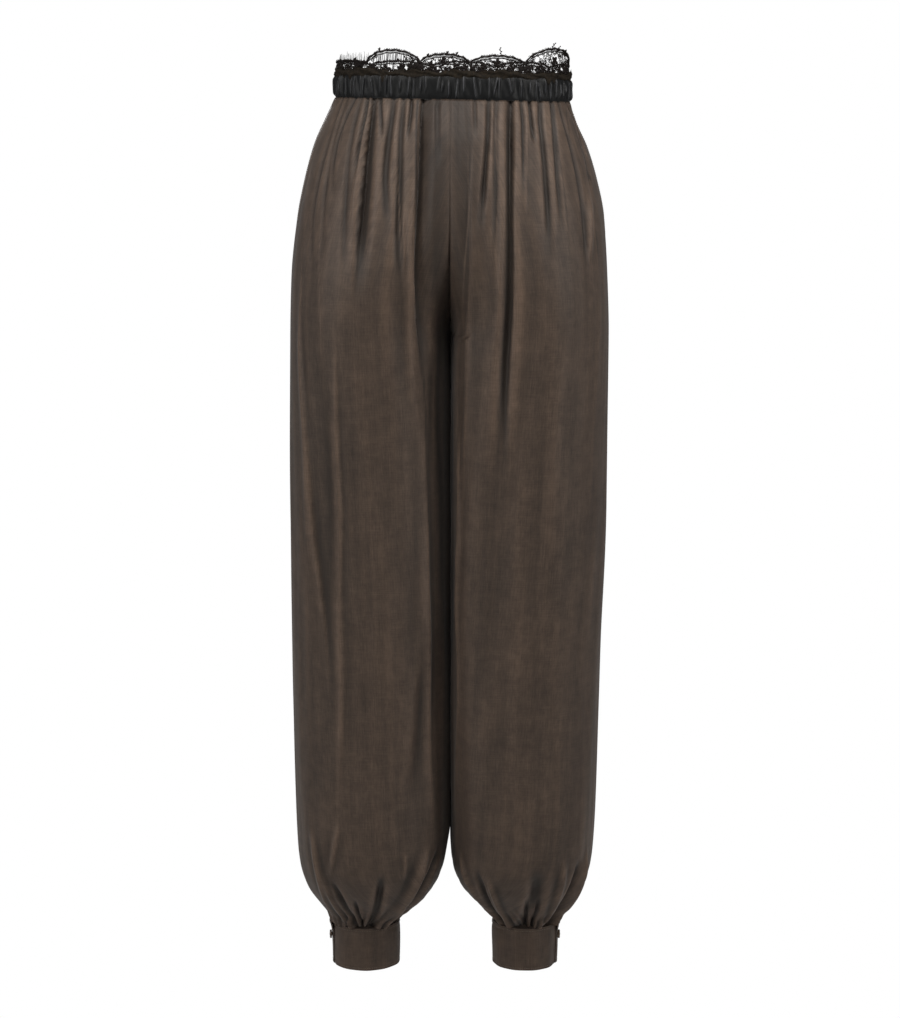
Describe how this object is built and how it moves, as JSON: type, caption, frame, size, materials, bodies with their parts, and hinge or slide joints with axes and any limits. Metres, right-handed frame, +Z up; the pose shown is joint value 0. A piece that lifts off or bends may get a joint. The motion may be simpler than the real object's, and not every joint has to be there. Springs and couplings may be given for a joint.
{
  "type": "balloon pants",
  "caption": "Balloon pants: gathered silk legs drawn into buttoned ankle cuffs, a ruched coated waistband, a raw frill and a scalloped lace edging; hollow, filled-out form.",
  "frame": {"origin": "centre of the waist ring at half the height of the waistband", "axes": "+Z up along the body, -Y to the wearer's front, +X to the wearer's left"},
  "size_m": [0.3578, 0.2632, 1.049],
  "materials": {
    "silk": "sand-washed silk, soft satin sheen, fine vertical slubs",
    "cuff_silk": "sand-washed silk, doubled and pressed",
    "band_coat": "thin coated leather look, ruched over elastic",
    "chiffon": "raw-edged chiffon, frayed",
    "lace_thread": "corded lace thread, matt with a slight lustre",
    "button": "dark horn look, four holes"
  },
  "bodies": {
    "root": {"right_front": "silk", "right_back": "silk", "left_front": "silk", "left_back": "silk", "right_pocket_facing": "silk", "left_pocket_facing": "silk", "right_cuff": "cuff_silk", "left_cuff": "cuff_silk", "waistband": "band_coat", "waist_frill": "chiffon", "lace_front": "lace_thread", "lace_back": "lace_thread", "right_cuff_button": "button", "left_cuff_button": "button"}
  },
  "joints": []
}
